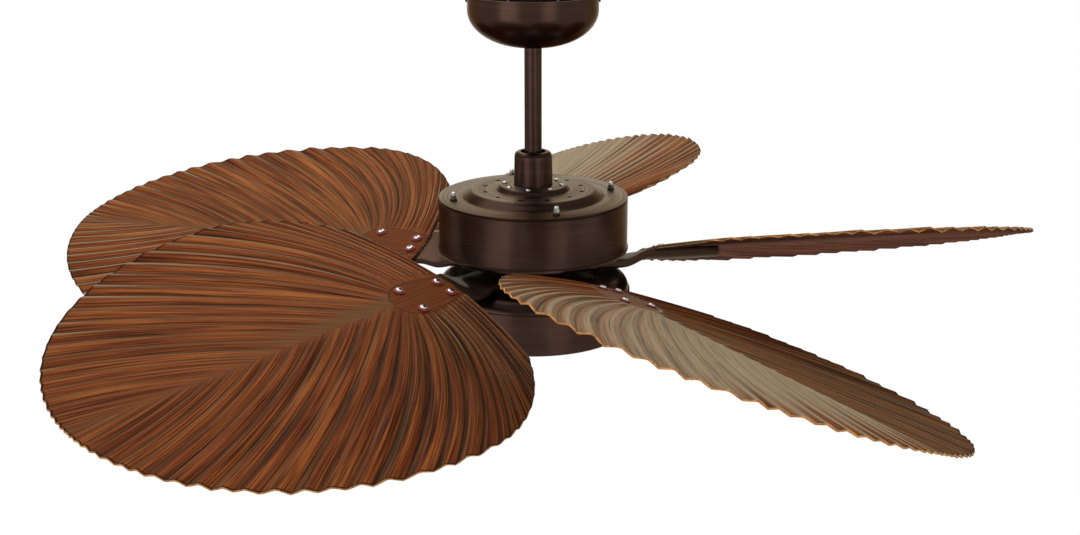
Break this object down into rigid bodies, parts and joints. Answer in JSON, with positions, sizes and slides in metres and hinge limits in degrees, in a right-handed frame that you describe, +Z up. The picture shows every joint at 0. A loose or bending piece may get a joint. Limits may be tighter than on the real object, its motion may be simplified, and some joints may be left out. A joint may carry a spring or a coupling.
{
  "type": "ceiling fan",
  "caption": "Ceiling fan on a short downrod, with a bell canopy, drum motor housing, round switch housing and pleated palm-leaf blades on curved irons.",
  "frame": {"origin": "the middle of the hanger bracket's flat top face, in the plane of the ceiling", "axes": "+Z up to the ceiling and along the motor shaft at rest, +X and +Y level, the bracket strip lies along X"},
  "size_m": [1.3133, 1.2835, 0.4229],
  "materials": {
    "bronze": "satin dark oil-rubbed bronze with fine turned brushing",
    "zinc": "bright zinc plate",
    "steel": "ground steel",
    "nut_chrome": "polished",
    "laminations": "varnished sheet stack",
    "copper": "enamelled copper wire",
    "leaf_wood": "satin walnut stain over pleated relief",
    "black_plastic": "matte"
  },
  "bodies": {
    "mount": {"hanger_bracket": "zinc", "canopy": "bronze", "canopy_screw_left": "bronze", "canopy_screw_right": "bronze"},
    "hanging": {"hanger_ball": "black_plastic", "ball_cross_pin": "steel", "downrod": "bronze", "rod_coupling": "zinc", "clevis_pin": "steel", "rod_set_screw_left": "steel", "rod_set_screw_right": "steel", "coupling_cover": "bronze", "drum_top_plate": "bronze", "drum_shell": "bronze", "domed_nut_1": "nut_chrome", "domed_nut_2": "nut_chrome", "domed_nut_3": "nut_chrome", "domed_nut_4": "nut_chrome", "motor_shaft": "steel", "stator_core": "laminations", "winding_upper": "copper", "winding_lower": "copper", "shaft_nut_upper": "zinc", "shaft_nut_lower": "zinc", "housing_cap": "bronze", "housing_cup": "bronze", "centre_plug": "bronze", "run_capacitor": "black_plastic", "reverse_switch": "black_plastic", "housing_screw_1": "bronze", "housing_screw_2": "bronze", "housing_screw_3": "bronze"},
    "rotor": {"rotor_ring": "laminations", "end_bell_upper": "zinc", "end_bell_lower": "zinc", "bearing_upper": "steel", "bearing_lower": "steel", "flywheel": "bronze", "blade_iron_1": "bronze", "blade_iron_2": "bronze", "blade_iron_3": "bronze", "blade_iron_4": "bronze", "blade_iron_5": "bronze", "blade_1": "leaf_wood", "blade_2": "leaf_wood", "blade_3": "leaf_wood", "blade_4": "leaf_wood", "blade_5": "leaf_wood"},
    "reverse_slider": {"reverse_slider": "black_plastic"}
  },
  "joints": [
    {"name": "downrod_swing", "type": "hinge", "parent": "mount", "child": "hanging", "pos_m": [0, 0, -0.036], "axis": [1, 0, 0], "range_deg": [-12, 12]},
    {"name": "rotor_spin", "type": "hinge", "parent": "hanging", "child": "rotor", "pos_m": [0, 0, -0.2865], "axis": [0, 0, 1], "continuous": true},
    {"name": "reverse_slide", "type": "slide", "parent": "hanging", "child": "reverse_slider", "axis": [0, 0, 1], "range_m": [0, 0.0055]}
  ]
}
